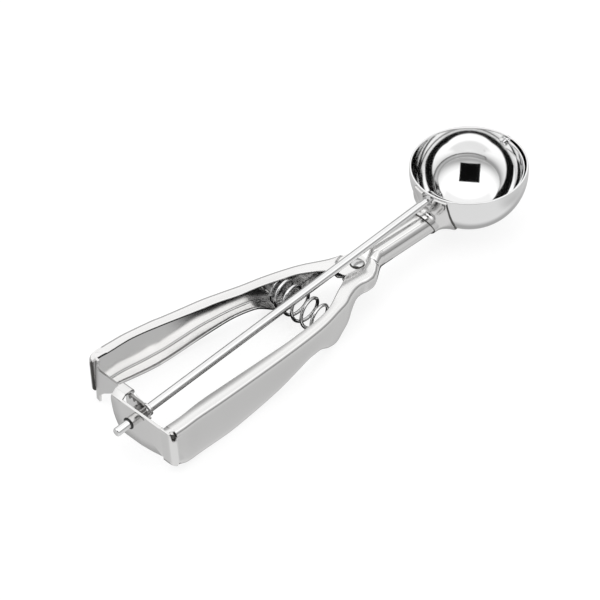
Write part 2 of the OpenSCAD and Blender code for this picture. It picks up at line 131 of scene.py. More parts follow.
LOW_M = Curve([[-137, 16], [-120, 15.6], [-60, 14.6], [-48, 13.6], [-38, 12.2], [-28, 10.6], [-24, 9.6],
               [-20, 8.8], [-16, 8.2], [-12, 7.4], [-9, 6.6], [12, 6.6]])
LOW_MOVING = Curve([[-137, -20], [-127, -20.1], [-120, -21.1], [-112, -21.25], [-98, -21.2], [-90, -20.5],
                    [-82, -18.8], [-73, -16.7], [-63, -14.8], [-54, -13.2], [-47, -12.7], [-43, -13], [-39, -14.5],
                    [-35, -16.4], [-29, -17.4], [-24, -15], [-20, -12.8], [-16, -9.8], [-12, -7], [-9, -6.6], [12, -6.6]])

# -------------------------------------------------------------- materials ----


def steel(name, light, dark, rough, vary=0.05, scale=60.0, grain=0.0, along=(1.0, 1.0, 1.0), aniso=0.0, seed=0.0):
    """Polished or satin steel: slow tone and gloss variation, with a fine grain in the surface."""
    m = bpy.data.materials.new(name)
    m.use_nodes = True
    t = m.node_tree
    t.nodes.clear()
    out = t.nodes.new("ShaderNodeOutputMaterial")
    b = t.nodes.new("ShaderNodeBsdfPrincipled")
    b.inputs["Metallic"].default_value = 1.0
    b.inputs["Anisotropic"].default_value = aniso
    co = t.nodes.new("ShaderNodeTexCoord")
    mp = t.nodes.new("ShaderNodeMapping")
    mp.inputs["Scale"].default_value = along
    mp.inputs["Location"].default_value = (seed, seed * 0.7, seed * 0.3)
    n1 = t.nodes.new("ShaderNodeTexNoise")
    n1.inputs["Scale"].default_value = scale
    n1.inputs["Detail"].default_value = 3.0
    r1 = t.nodes.new("ShaderNodeMapRange")
    r1.inputs["From Min"].default_value = 0.3
    r1.inputs["From Max"].default_value = 0.7
    r1.inputs["To Min"].default_value = rough - vary
    r1.inputs["To Max"].default_value = rough + vary
    cr = t.nodes.new("ShaderNodeValToRGB")
    cr.color_ramp.elements[0].position = 0.3
    cr.color_ramp.elements[0].color = (*dark, 1)
    cr.color_ramp.elements[1].position = 0.7
    cr.color_ramp.elements[1].color = (*light, 1)
    n2 = t.nodes.new("ShaderNodeTexNoise")
    n2.inputs["Scale"].default_value = scale * 0.35
    n2.inputs["Detail"].default_value = 2.0
    L = t.links.new
    L(co.outputs["Object"], mp.inputs["Vector"])
    L(mp.outputs["Vector"], n1.inputs["Vector"])
    L(co.outputs["Object"], n2.inputs["Vector"])
    L(n1.outputs["Fac"], r1.inputs["Value"])
    L(r1.outputs["Result"], b.inputs["Roughness"])
    L(n2.outputs["Fac"], cr.inputs["Fac"])
    L(cr.outputs["Color"], b.inputs["Base Color"])
    if grain > 0:
        n3 = t.nodes.new("ShaderNodeTexNoise")
        n3.inputs["Scale"].default_value = scale * 9
        n3.inputs["Detail"].default_value = 4.0
        bp = t.nodes.new("ShaderNodeBump")
        bp.inputs["Strength"].default_value = grain
        bp.inputs["Distance"].default_value = 0.00003
        L(mp.outputs["Vector"], n3.inputs["Vector"])
        L(n3.outputs["Fac"], bp.inputs["Height"])
        L(bp.outputs["Normal"], b.inputs["Normal"])
    L(b.outputs["BSDF"], out.inputs["Surface"])
    return m


HANDLE = steel("handle_satin_steel", (0.86, 0.855, 0.85), (0.82, 0.815, 0.81), 0.17, 0.03, 45, 0.10, (0.5, 2.0, 2.0))
BOWL = steel("bowl_polished_steel", (0.87, 0.87, 0.87), (0.84, 0.84, 0.84), 0.07, 0.02, 40, 0.0)
POLISH = steel("polished_steel", (0.88, 0.88, 0.88), (0.84, 0.84, 0.84), 0.10, 0.02, 80, 0.0)
CAST = steel("socket_polished_steel", (0.80, 0.795, 0.79), (0.74, 0.735, 0.73), 0.16, 0.04, 90, 0.15)
SPRING = steel("spring_wire_steel", (0.86, 0.86, 0.86), (0.78, 0.78, 0.78), 0.10, 0.03, 120, 0.0)
# Dark steel for the pinion and the arm's toothed end, both down in the gap between the plates: painted shade.
ARM = steel("arm_dull_shaded_steel", (0.40, 0.395, 0.39), (0.32, 0.315, 0.31), 0.30, 0.05, 110, 0.2)
PLATE = steel("arm_plate_steel", (0.72, 0.715, 0.71), (0.64, 0.635, 0.63), 0.28, 0.05, 110, 0.2)
BUSH = steel("bush_steel", (0.62, 0.62, 0.62), (0.54, 0.54, 0.54), 0.25, 0.05, 150, 0.1)
# Dark steel laid on faces in shaded gaps, creases and cut edges: painted shade.
GAP_SHADE = steel("gap_shade_dark_steel", (0.16, 0.155, 0.15), (0.10, 0.10, 0.095), 0.45, 0.08, 150, 0.2)
RIVET = steel("rivet_polished_steel", (0.70, 0.70, 0.70), (0.46, 0.46, 0.46), 0.12, 0.03, 260, 0.0)
BLACK = steel("clip_black_oxide", (0.05, 0.05, 0.05), (0.03, 0.03, 0.03), 0.4, 0.06, 150, 0.2)

# ------------------------------------------------------------ mesh helpers ----


class Mesh:
    def __init__(self):
        self.v, self.f = [], []

    def add(self, verts, faces):
        o = len(self.v)
        self.v += [tuple(map(float, p)) for p in verts]
        self.f += [tuple(i + o for i in f) for f in faces]
        return o

    def loft(self, rings, closed=True, caps=True, loop=False):
        """Joins rings of equally many points. closed: each ring closes on itself."""
        n, m = len(rings), len(rings[0])
        verts = [p for r in rings for p in r]
        faces = []
        for i in range(n if loop else n - 1):
            a, b = i * m, ((i + 1) % n) * m
            for j in range(m if closed else m - 1):
                k = (j + 1) % m
                faces.append((a + j, b + j, b + k, a + k))
        if caps and not loop:
            faces.append(tuple(range(m)))
            faces.append(tuple((n - 1) * m + j for j in range(m - 1, -1, -1)))
        self.add(verts, faces)

    def build(self, name, mat, body, nodes, angle=35.0, second=None):
        me = bpy.data.meshes.new(name)
        me.from_pydata(self.v, [], self.f)
        me.validate()
        import bmesh
        bm = bmesh.new()
        bm.from_mesh(me)
        bmesh.ops.remove_doubles(bm, verts=bm.verts, dist=1e-7)
        bmesh.ops.dissolve_degenerate(bm, dist=1e-7, edges=bm.edges)
        bmesh.ops.recalc_face_normals(bm, faces=bm.faces)
        if second:
            for f in bm.faces:
                f.material_index = 1 if second[1](np.array(f.calc_center_median())) else 0
        bm.to_mesh(me)
        bm.free()
        me.shade_smooth()
        me.set_sharp_from_angle(angle=math.radians(angle))
        ob = bpy.data.objects.new(name, me)
        bpy.context.scene.collection.objects.link(ob)
        me.materials.append(mat)
        if second:
            me.materials.append(second[0])
        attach(ob, body)
        if nodes:
            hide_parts(*nodes)
        return ob


def lathe(mesh, profile, place, n=64, axis="x"):
    """profile: (position along the axis, radius) pairs from one end to the other; ends on the axis are closed."""
    rings = []
    for s, r in profile:
        r = max(r, 1e-4)
        ring = []
        for k in range(n):
            a = 2 * math.pi * k / n
            if axis == "x":
                ring.append((s, r * math.cos(a), r * math.sin(a)))
            else:
                ring.append((r * math.cos(a), r * math.sin(a), s))
        rings.append(place(ring))
    mesh.loft(rings)


def offset_in(path, t):
    """path: outer line (s, z) pairs; the same line moved to its left by t."""
    p = np.array(path)
    d = np.gradient(p, axis=0)
    d /= np.maximum(np.linalg.norm(d, axis=1), 1e-9)[:, None]
    return p + t * np.stack([-d[:, 1], d[:, 0]], 1)


def rounded_strip(path, t, n_end=4):
    """Closed outline of a sheet of thickness t whose outer line is path, with softly rounded ends."""
    p = np.array(path)
    inner = offset_in(p, t)

    def end(a, b, out):
        mid, ra = (a + b) / 2, (a - b) / 2
        pts = []
        for k in range(1, n_end):
            ang = math.pi * k / n_end
            pts.append(mid + ra * math.cos(ang) + out * 0.32 * math.sin(ang))
        return pts

    d0 = p[0] - p[1]
    d0 /= np.linalg.norm(d0)
    d1 = p[-1] - p[-2]
    d1 /= np.linalg.norm(d1)
    return list(p) + end(p[-1], inner[-1], d1) + list(inner[::-1]) + end(inner[0], p[0], d0)


T = 1.2


def crowned(W, r):
    """How far a flange of width W falls from its crest to its free edge."""
    return 0.85 * min(1.0, max(0.0, W - r) / 4.4) ** 2


def section(zt, zb, W, Wb, r, rb, crown=0.0):
    """Outer line of a channel from its top free edge to its bottom free edge: (distance inwards, height)."""
    h = zt - zb
    if r + rb > h - 0.1:
        f = (h - 0.1) / (r + rb)
        r, rb = r * f, rb * f
    pts = []
    if W > r:
        for i in range(14):
            s = W + (r - W) * i / 14
            pts.append((s, zt - crown * (max(0.0, (s - r) / (W - r) - 0.2) / 0.8) ** 1.6))
        a0, n = 0.0, 10
    else:
        a0, n = math.asin(min(1.0, (r - W) / r)), 24
    for i in range(n):
        a = a0 + (math.pi / 2 - a0) * i / (n - 1)
        pts.append((r * (1 - math.sin(a)), zt - r + r * math.cos(a)))
    for i in range(1, 9):
        pts.append((0.0, zt - r + (zb + rb - (zt - r)) * i / 9))
    for i in range(9):
        a = math.pi / 2 * i / 8
        pts.append((rb * (1 - math.cos(a)), zb + rb - rb * math.sin(a)))
    for i in range(1, 5):
        pts.append((rb + (max(Wb, rb + 0.3) - rb) * i / 4, zb))
    return pts


def fixed_rings(xs):
    rings = []
    for x in xs:
        w, k = WALL(x), WALL.slope(x)
        q = math.sqrt(1 + k * k)
        zt = 3.85 * smooth(-1, 10, x)
        r = 2.3 + 3.3 * smooth(-3, 11, x)
        rb = 2.0 + 3.5 * smooth(-3, 11, x)
        W = max((w - TOP(x)) / q, 0.6)
        crown = crowned(W, r) * (1 - smooth(-32, -16, x))
        pts = section(zt, LOW_FIXED(x), W + 0.72 * crown, max((w - LOW(x)) / q, 0.6), r, rb, crown)
        lean = 0.0863 * (1 - smooth(-126.2, -117, x))
        # the wall is bowed a little, so that its tone falls from the crest to the lower edge
        zm, hh = (zt + LOW_FIXED(x)) / 2, (zt - LOW_FIXED(x)) / 2
        pts = [(s + 0.32 * ((z - zm) / hh) ** 2 * max(0.0, 1 - s / r), z) for s, z in pts]
        line = rounded_strip(pts, T)
        rings.append(hnd([(x - lean * (z + 9), -(w - s * q), z) for s, z in line]))
    return rings


def moving_rings():
    """The moving handle's channel along its wall, round the rear corner to the rear edge."""
    path = [(x, WALL_M(x)) for x in list(np.linspace(0.3, -49, 70)) + list(np.linspace(-50, -118, 78))]
    n_main = len(path)
    ctrl = np.array([(-118, 20.94), (-119.6, 20.72), (-121.2, 20.38), (-122.7, 19.9), (-123.9, 19.3), (-124.9, 18.5),
                     (-125.6, 17.6), (-125.95, 16.8), (-125.98, 16.2)])
    d = np.r_[0, np.cumsum(np.linalg.norm(np.diff(ctrl, axis=0), axis=1))]
    u = np.linspace(0, d[-1], 40)[1:]
    cx, cy = Curve(np.stack([d, ctrl[:, 0]], 1)), Curve(np.stack([d, ctrl[:, 1]], 1))
    path += [(cx(t), cy(t)) for t in u]
    P = np.array(path)
    tan = np.gradient(P, axis=0)
    tan /= np.linalg.norm(tan, axis=1)[:, None]
    nrm = np.stack([-tan[:, 1], tan[:, 0]], 1)
    rings = []
    for i, (x, y) in enumerate(P):
        c = max(0.0, (i - n_main + 1) / (len(P) - n_main))
        k = 1.0 / max(abs(tan[i, 0]), 0.6)
        if c == 0:
            W, Wb = (y - TOP_M(x)) / k, (y - LOW_M(x)) / k
        else:
            W = (WALL_M(-118) - TOP_M(-118)) * (1 - smooth(0.0, 0.75, c)) + 0.75 * smooth(0.0, 0.75, c)
            Wb = (WALL_M(-118) - LOW_M(-118)) * (1 - smooth(0.0, 0.7, c)) + 0.9 * smooth(0.0, 0.7, c)
        zt = -0.5 * smooth(0.55, 1.0, c)
        zb = LOW_MOVING(x) + 1.2 * smooth(0.6, 1.0, c)
        r = 2.3 - 0.7 * smooth(-9, -3, x)
        crown = 0.35 * crowned(max(W, 0.6), r) * (1 - smooth(-36, -20, x)) * (1 - smooth(0.0, 0.4, c))
        pts = section(zt, zb, max(W, 0.6) + 0.5 * crown, max(Wb, 0.6), r, 2.0 - 0.7 * smooth(-10.5, -5, x), crown)
        line = rounded_strip(pts, T)
        ring = []
        for s, z in line:
            fwd = 0.05 * max(0.0, -2.0 - z) * c
            px, py = x + nrm[i, 0] * s + fwd, y + nrm[i, 1] * s
            # the sheet steps down on a circle round the rivet, to pass under the landing plate
            z -= 1.35 * smooth(-9.5, -8.5, -math.hypot(px, py)) * smooth(-4.2, -2.6, z)
            ring.append((px, -py, z))
        rings.append(lever(ring))
    return rings


# ------------------------------------------------------------ fixed handle ----
fixed = Mesh()
xs = list(np.linspace(-126.2, -50, 90)) + list(np.linspace(-49.2, 12, 90))
fixed.loft(fixed_rings(xs))

# rear corner and end of the wall, in the rod frame
PX = -201.8


def in_rod(x, y, z):
    """height in the rod frame of a point of the handle frame with that x and z"""
    p = np.array([x, y, z]) @ RT.T + PIVOT
    return p


# The strip starts a little inside the channel's wall, so that no faces coincide.
corner = []
path = [(X, -22.0 + g, 0.0) for X, g in ((-196.6, 0.06), (-197.4, 0.05), (-198.0, 0.03), (-198.5, 0.012), (-198.8, 0.0))]
path += [(-198.8 - 3 * math.sin(a), -19 - 3 * math.cos(a), a) for a in np.linspace(0.12, math.pi / 2, 15)]
path += [(PX, Y, math.pi / 2) for Y in (-18.2, -17.2, -16.2, -15.3)] + [(PX + 0.5, -14.9, math.pi / 2)]
for X, Y, a in path:
    xh = (X - PIVOT[0]) * math.cos(TILT) - (-8 - PIVOT[2]) * math.sin(TILT)
    low = in_rod(xh, 0, LOW_FIXED(xh))[2] + 0.2 * a
    if a == 0:
        low += 2.0
    top = in_rod(xh, 0, 0)[2]
    f = a / (math.pi / 2)
    rise = smooth(0.5, 0.66, f)
    top = top - 2.3 + 2.05 * rise - 1.8 * smooth(0.0, 0.12, f) * (1 - rise)
    if a > 0:
        low += 2.0 * (1 - smooth(0.0, 0.35, f))
    n = np.array([math.sin(a), math.cos(a)])
    ring = []
    nz = 12
    lead = 0.35
    for i in range(nz + 1):
        z = low + lead + (top - low - 2 * lead) * i / nz
        ring.append((X, Y, z))
    for k in range(1, 4):
        b = math.pi * k / 4
        ring.append((X + n[0] * T * (1 - math.cos(b)) / 2, Y + n[1] * T * (1 - math.cos(b)) / 2, top - lead + lead * math.sin(b)))
    for i in range(nz, -1, -1):
        z = low + lead + (top - low - 2 * lead) * i / nz
        ring.append((X + n[0] * T, Y + n[1] * T, z))
    for k in range(1, 4):
        b = math.pi * k / 4
        ring.append((X + n[0] * T * (1 + math.cos(b)) / 2, Y + n[1] * T * (1 + math.cos(b)) / 2, low + lead - lead * math.sin(b)))
    corner.append(rod(ring))
fixed.loft(corner)

# end of the top flange, between the open corner and the end plate's top edge
rings = []
for x, yo, dz in ((-126.6, 20.2, 0.03), (-127.0, 20.15, 0.0), (-127.6, 19.75, 0.0), (-128.3, 19.5, 0.0), (-129.0, 19.5, 0.0),
                  (-129.5, 19.9, 0.02), (-129.8, 20.1, 0.1), (-130.0, 20.0, 0.22), (-130.12, 19.8, 0.4)):
    yi = 15.55
    line = []
    for i in range(9):
        y = yo + (yi - yo) * i / 8
        line.append((y, -0.85 * (max(0.0, (19.7 - y) / 4.3 - 0.2) / 0.8) ** 1.6 - dz))
    under = [(y, -1.17 + min(0.0, z) * 0.6) for y, z in line[::-1]]
    rings.append(hnd([(x, -y, z) for y, z in line + under]))
fixed.loft(rings)

# the end plate's own lug inside the open corner
rings = []
for a in np.linspace(-0.35, 1.45, 12):
    top = in_rod(-130.0 + 3.0 * (1 - math.sin(max(a, 0.0))), 0, 0)[2]
    q = []
    for rad, order in ((1.72, 1), (0.9, -1)):
        for z in np.linspace(top - 1.25, top - 8.5, 6)[::order]:
            q.append((-198.8 - rad * math.sin(a), -19 - rad * math.cos(a), z))
    rings.append(rod(q))
fixed.loft(rings)

# end plate with a hole for the sleeve, and its softened edges
OUT = [(-15.15, 4.9), (0, 4.9), (13.0, 4.9), (13.7, 4.4), (14.1, 2.5), (14.1, 0.5), (13.9, -3), (13.6, -6),
       (12.6, -9.6), (11.4, -11.9), (9.8, -13.4), (8, -14.1), (6.4, -14.2), (-2, -14.2), (-8.4, -13.2),
       (-15.15, -11.6)]


def resample(pts, n, closed=True):
    p = np.array(pts, float)
    q = np.vstack([p, p[:1]]) if closed else p
    d = np.r_[0, np.cumsum(np.linalg.norm(np.diff(q, axis=0), axis=1))]
    u = np.linspace(0, d[-1], n, endpoint=not closed)
    return np.stack([np.interp(u, d, q[:, i]) for i in range(q.shape[1])], 1)


def plate(mesh, outline, hole, x0, x1, place, n=160, soft=0.18):
    """A flat plate between x0 and x1 with outline in (y, z), one round hole, and softened edges."""
    o = resample(outline, n)
    cy, cz, hr = hole
    ang = np.arctan2(o[:, 1] - cz, o[:, 0] - cy)
    h = np.stack([cy + hr * np.cos(ang), cz + hr * np.sin(ang)], 1)
    din = (h - o)
    din /= np.linalg.norm(din, axis=1)[:, None]
    rings = []
    s = soft
    for line, x in ((h, x0), (o + (h - o) * 0.5, x0), (o + din * s, x0), (o + din * s * 0.3, x0 + s * 0.3), (o, x0 + s),
                    (o, x1 - s), (o + din * s * 0.3, x1 - s * 0.3), (o + din * s, x1), (o + (h - o) * 0.5, x1), (h, x1)):
        rings.append(place([(x, y, z) for y, z in line]))
    mesh.loft(rings, loop=True)


plate(fixed, OUT, (0, 0, 2.35), PX, PX + T, rod, 220)

# tab rising from the end plate towards the bridge
tab = []
sec = [(PX, 4.4), (PX, 4.9), (-201.2, 5.38), (-200.2, 6.14), (-199.16, 6.93), (-199.16, 5.93), (-199.9, 5.35), (-200.6, 4.8),
       (-200.6, 4.4)]
for Y, g in ((7.5, 0.12), (7.62, 0.0), (13.08, 0.0), (13.2, 0.12)):
    c = np.mean(sec, axis=0)
    tab.append(rod([(x + (c[0] - x) * g * 0.25, Y, z + (c[1] - z) * g * 0.25) for x, z in sec]))
fixed.loft(tab)

# lower half of the neck
for x0, x1, a0, a1, nx in ((11.9, 44.5, 39, 270, 34), (7.2, 11.95, 184, 270, 8)):
    trough = []
    for x in np.linspace(x0, x1, nx):
        ring = []
        for rr, order in ((5.6, 1), (4.6, -1)):
            angs = np.linspace(a0, a1, 60)[::order]
            for a in angs:
                t = math.radians(a)
                ring.append((x, -rr * math.sin(t), NECK_Z + rr * math.cos(t)))
        trough.append(hnd(ring))
    fixed.loft(trough)
# pad under the rivet
lathe(fixed, [(-7.9, 0.01), (-7.9, 6.3), (-7.75, 6.4), (-6.85, 6.4), (-6.7, 6.3), (-6.7, 0.01)], hnd, 64, "z")


# The lug's faces inside the open corner get the dark steel: painted shade of the corner's shadowed inside.
def in_shaded_lug(c):
    q = (c * 1000 - SHIFT) @ RL
    h = (q - PIVOT) @ RT
    return bool(math.hypot(q[0] + 198.8, q[1] + 19) < 1.76 and h[2] < -1.22 and q[1] < -18)


fixed.build("fixed_handle_sheet", HANDLE, "frame", ["fixed_handle"], 40, (GAP_SHADE, in_shaded_lug))

# ----------------------------------------------------------- moving handle ----
moving = Mesh()
moving.loft(moving_rings())
# lugs round the rivet
for z0, z1 in ((-2.5, -1.3), (-6.6, -5.4)):
    out = [(-16, -12.6), (-16, -7.2), (-9, -3.2), (-5.2, -1.4)]
    out += [(5.2 * math.cos(t), 5.2 * math.sin(t)) for t in np.radians(np.linspace(195, -60, 30))]
    out += [(1.5, -6.5), (0.4, -8.6), (-2, -9.2), (-8, -10.6), (-12, -12.0)]
    if z0 < -5:
        out = [(-8, -10.2), (-8, -3.4)] + out[3:-1]
    o = resample(out, 120)
    c = np.array([-3.0, -4.5])
    rings = []
    for g, z in ((0.6, z0), (0.15, z0), (0.0, z0 + 0.15), (0.0, z1 - 0.15), (0.15, z1), (0.6, z1)):
        d = c - o
        d /= np.linalg.norm(d, axis=1)[:, None]
        rings.append(lever([(x, y, z) for x, y in o + d * g]))
    moving.loft(rings)
# top flange in the rear corner
rings = []
for x, yo, dz in ((-118.4, 19.8, 0.03), (-120.0, 19.6, 0.03), (-121.6, 19.2, 0.03), (-123.0, 18.6, 0.04), (-124.0, 18.0, 0.06),
                  (-124.8, 17.3, 0.16), (-125.2, 16.8, 0.26), (-125.45, 16.4, 0.42)):
    yi = TOP_M(x) - 0.05 - 0.15 * (x > -119)
    top = [(yo + (yi - yo) * i / 6, -dz) for i in range(7)]
    rings.append(lever([(x, -y, z) for y, z in top + [(y, z - 1.1) for y, z in top[::-1]]]))
moving.loft(rings)


def in_shaded_edge(c):
    """The cut rear edge of the moving handle's sheet, which gets the dark steel as painted shade of the gap behind it.
    """
    q = ((c * 1000 - SHIFT) @ RL - PIVOT) @ RT
    a = math.radians(OPEN)
    x, y = q[0] * math.cos(a) - q[1] * math.sin(a), q[0] * math.sin(a) + q[1] * math.cos(a)
    return bool(x < -124.4 and y < 16.35 and q[2] < -2.2)


moving.build("moving_handle_sheet", HANDLE, "lever", ["moving_handle"], 40, (GAP_SHADE, in_shaded_edge))

# --------------------------------------------------------------- neck shell ----
neck = Mesh()
rings = []
EDGE = Curve([[-10.2, 1.2], [-9.75, 1.6], [-9.2, 2.1], [-8.7, 2.2], [-8.2, 2.4], [-7.8, 3.2], [-7, 4.7], [-6, 5.9], [-5, 6.7],
              [-3, 7.6], [-1, 7.9], [1, 7.7], [3, 7.2], [8.2, 5.6], [45, 5.6]])
INNER = Curve([[-10.2, -2.6], [-9.9, -0.8], [-9.5, 1.0], [-9.0, 1.9], [-8.4, 2.2], [-6.2, 2.75], [-3.5, 3.1], [-0.7, 3.45],
               [2.8, 3.15], [5.9, 2.5], [8.2, 2.3], [45, 2.3]])
for x in list(np.linspace(-10.0, -7, 8)) + list(np.linspace(-6.6, 12, 48)) + list(np.linspace(13, 44.4, 30)):
    f = smooth(3.2, 9.8, x)
    pts = []
    n = 40
    for i in range(n + 1):
        u = i / n
        # flat landing plate
        y0, y1 = -INNER(x), EDGE(x)
        fy, fz = y0 + (y1 - y0) * min(1.0, u / 0.86), 0.0
        if u > 0.86:
            fz = -1.1 * (u - 0.86) / 0.14
        # half tube
        a = math.radians(38.6 + (-90 - 38.6) * u)
        ty, tz = -5.6 * math.sin(a), NECK_Z + 5.6 * math.cos(a)
        pts.append((fy * (1 - f) + ty * f, fz * (1 - f) + tz * f))
    line = rounded_strip([(-y, z) for y, z in pts], 1.0)
    rings.append(hnd([(x, -s, z) for s, z in line]))
neck.loft(rings)
neck.build("neck_shell_sheet", HANDLE, "frame", ["neck_shell"], 40)

# ------------------------------------------------------------------- bowl ----
bowl = Mesh()
prof = []
a_rim_o = math.asin(3 / 26.4)
a_rim_i = math.asin(3 / 25.6)
no = 60
for i in range(no + 1):
    a = -math.pi / 2 + (a_rim_o - 0.006 + math.pi / 2) * i / no
    prof.append((26.4 * math.cos(a), 26.4 * math.sin(a)))
ro, ri = 26.4 * math.cos(a_rim_o), 25.6 * math.cos(a_rim_i)
prof += [(ro - 0.06, 2.97), (ro - 0.2, 3.0), (ri + 0.2, 3.0), (ri + 0.05, 2.96)]
for i in range(no + 1):
    a = a_rim_i - 0.006 - (a_rim_i - 0.006 + math.pi / 2) * i / no
    prof.append((25.6 * math.cos(a), 25.6 * math.sin(a)))
lathe(bowl, [(z, r) for r, z in prof], rod, 160, "z")
bowl.build("bowl_shell", BOWL, "frame", ["bowl"], 50)

# ---------------------------------------------------------------- scraper ----
blade = Mesh()
rest = math.radians(4.2)
ca, sa = math.cos(rest), math.sin(rest)


def blade_place(p):
    p = np.asarray(p, float)
    return rod(np.stack([p[:, 0], p[:, 1] * ca - p[:, 2] * sa, p[:, 1] * sa + p[:, 2] * ca], 1))


rings = []
lobe = math.asin(3.1 / 24.7)
phis = list(np.linspace(-lobe + 0.0005, 0.16, 26)) + list(np.linspace(0.18, math.pi - 0.18, 90)) + list(np.linspace(math.pi - 0.16, math.pi + lobe - 0.0005, 26))
for ph in phis:
    y = -24.7 * math.sin(ph)
    w = 2.8
    if y > -1.33:
        w = math.sqrt(max(3.1 ** 2 - y * y, 1e-4))
    w = max(w, 0.05)
    ring = []
    n = 10
    for R, order in ((24.68, 1), (24.02, -1)):
        ww = w if R > 24.5 else w
        for v in np.linspace(-1, 1, n)[::order]:
            z = v * ww
            g = 0.12 if abs(v) == 1 else 0.0
            RR = R - g if R > 24.5 else R + g
            rr = math.sqrt(RR * RR - z * z)
            ring.append((-rr * math.cos(ph), -rr * math.sin(ph), z))
    rings.append(blade_place(ring))
blade.loft(rings)
blade.build("scraper_blade", BOWL, "drive", ["scraper"], 50)

# -------------------------------------------------------------------- rod ----
r = Mesh()
lathe(r, [(-212.2, 0.01), (-212.2, 1.3), (-212.1, 1.6), (-211.85, 1.82), (-211.6, 1.9), (-200, 1.9), (-120, 1.9), (-60, 1.9), (-32.2, 1.9),
          (-32.0, 1.86), (-31.9, 1.75), (-31.9, 1.5), (-26, 1.5), (-23.1, 1.5), (-23.0, 1.4), (-23.0, 0.01)], rod, 64)
r.build("drive_rod_bar", POLISH, "drive", ["drive_rod"], 35)

# front pin and its head
r = Mesh()
lathe(r, [(22.8, 0.01), (22.8, 1.35), (22.9, 1.5), (26.37, 1.5), (26.37, 2.5), (26.45, 2.6), (26.7, 2.55), (27.05, 2.25), (27.35, 1.55), (27.5, 0.8), (27.56, 0.01)], rod, 48)
r.build("scraper_pin_head", POLISH, "frame", ["scraper_pin"], 40)

# sleeves, rings and the clip
r = Mesh()
lathe(r, [(-27.9, 1.56), (-27.9, 2.2), (-27.8, 2.3), (-25.2, 2.3), (-25.1, 2.2), (-25.1, 1.56), (-27.9, 1.56)], rod, 48)
r.build("front_bush_sleeve", BUSH, "frame", ["front_bush"], 40)
r = Mesh()
lathe(r, [(-204.75, 1.95), (-204.75, 2.2), (-204.6, 2.35), (-200.6, 2.35), (-200.59, 3.1), (-200.5, 3.2), (-200.2, 3.2), (-200.1, 3.1),
          (-200.1, 1.95), (-204.75, 1.95)], rod, 48)
r.build("rear_bush_sleeve", PLATE, "frame", ["rear_bush"], 40)
r = Mesh()
lathe(r, [(-195.3, 1.95), (-195.3, 2.25), (-195.15, 2.4), (-194.15, 2.4), (-194.0, 2.3), (-194.0, 1.95), (-195.3, 1.95)], rod, 48)
r.build("guide_bush_ring", POLISH, "frame", ["guide_bush"], 40)
r = Mesh()
lathe(r, [(-205.45, 1.9), (-205.45, 2.6), (-205.35, 2.7), (-204.95, 2.7), (-204.85, 2.6), (-204.85, 1.9), (-205.45, 1.9)], rod, 48)
r.build("retaining_clip_ring", BLACK, "drive", ["retaining_clip"], 40)

# ------------------------------------------------------------------ rivet ----
r = Mesh()
dome = [(1.6 * math.cos(a), 3.3 * math.sin(a)) for a in np.linspace(0.01, math.pi / 2, 16)]
lathe(r, [(z, q) for z, q in dome] + [(0.0, 2.2), (-7.9, 2.2), (-7.9, 3.3), (-8.1, 3.28), (-8.4, 3.0), (-8.65, 2.3), (-8.78, 1.2), (-8.8, 0.01)], hnd, 48, "z")


# The lowest band of the rivet's dome, where it meets the plate, gets the dark steel: painted shade in that crease.
def in_shaded_rim(c):
    q = ((c * 1000 - SHIFT) @ RL - PIVOT) @ RT
    return bool(0.0 < q[2] < 0.72)


r.build("pivot_rivet_head", RIVET, "frame", ["pivot_rivet"], 40, (GAP_SHADE, in_shaded_rim))

# ----------------------------------------------------------------- spring ----
CLIMB = Curve([[-0.05, 18.62], [0, 18.6], [1, 14.8], [2, 10.3], [3, 5.2], [4, -0.5], [5, -6.5], [6, -12.1], [6.75, -13]])


def coil(u):
    k = -0.05 + 6.8 * u
    a = math.radians(56 + 360 * k)
    y = CLIMB(k)
    f = (y + 13) / 31.6
    rr = 5.05 + (6.4 - 5.05) * min(smooth(0.0, 1.25, k), smooth(0.0, 0.85, 6.1 - k))
    return np.array([-30.6 + 0.8 * f + rr * math.cos(a), y, -8.6 + 0.8 * f + rr * math.sin(a)])


spring = Mesh()
rings = []
N = 290
for i in range(N + 1):
    u = i / N
    c = coil(u)
    d = coil(min(1, u + 0.0005)) - coil(max(0, u - 0.0005))
    d /= np.linalg.norm(d)
    n1 = np.cross(d, [0, 1, 0])
    n1 /= np.linalg.norm(n1)
    n2 = np.cross(d, n1)
    g = 0.75 * (0.75 if i in (0, N) else 1.0)
    rings.append(hnd([c + g * (math.cos(t) * n1 + math.sin(t) * n2) for t in np.linspace(0, 2 * math.pi, 19)[:-1]]))
spring.loft(rings)
wire = spring.build("handle_spring_wire", SPRING, "frame", ["handle_spring"], 50)
# end points of the wire on either handle, and a mesh of the wire's own
s0, s1 = hnd([(-30.6, -13.7, -8.6)])[0], hnd([(-30.2, 18.6, -8.2)])[0]
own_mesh(wire)

# ---------------------------------------------------------- bowl socket ----
# A saddle on the back of the bowl that runs back into the neck's collar.
SADDLE = [(-9.2, 2.1), (-10.1, -3), (-10.4, -8), (-10.2, -13), (-8.6, -18), (-5.4, -21.6), (0, -23),
          (5.4, -21.6), (8.6, -18), (10.2, -13), (10.4, -8), (10.1, -3), (9.2, 2.1), (3.3, 2.1), (2.5, 0.2), (1.4, -1.4),
          (-1.4, -1.4), (-2.5, 0.2), (-3.3, 2.1)]
socket = Mesh()
n = 144
s = resample(SADDLE, n)
cen = np.array([0.0, -10.5])
ang = np.unwrap(np.arctan2(s[:, 1] - cen[1], s[:, 0] - cen[0]))


def on_sphere(y, z, R):
    return np.stack([-np.sqrt(np.maximum(R * R - y * y - z * z, 0.1)), y, z], 1)


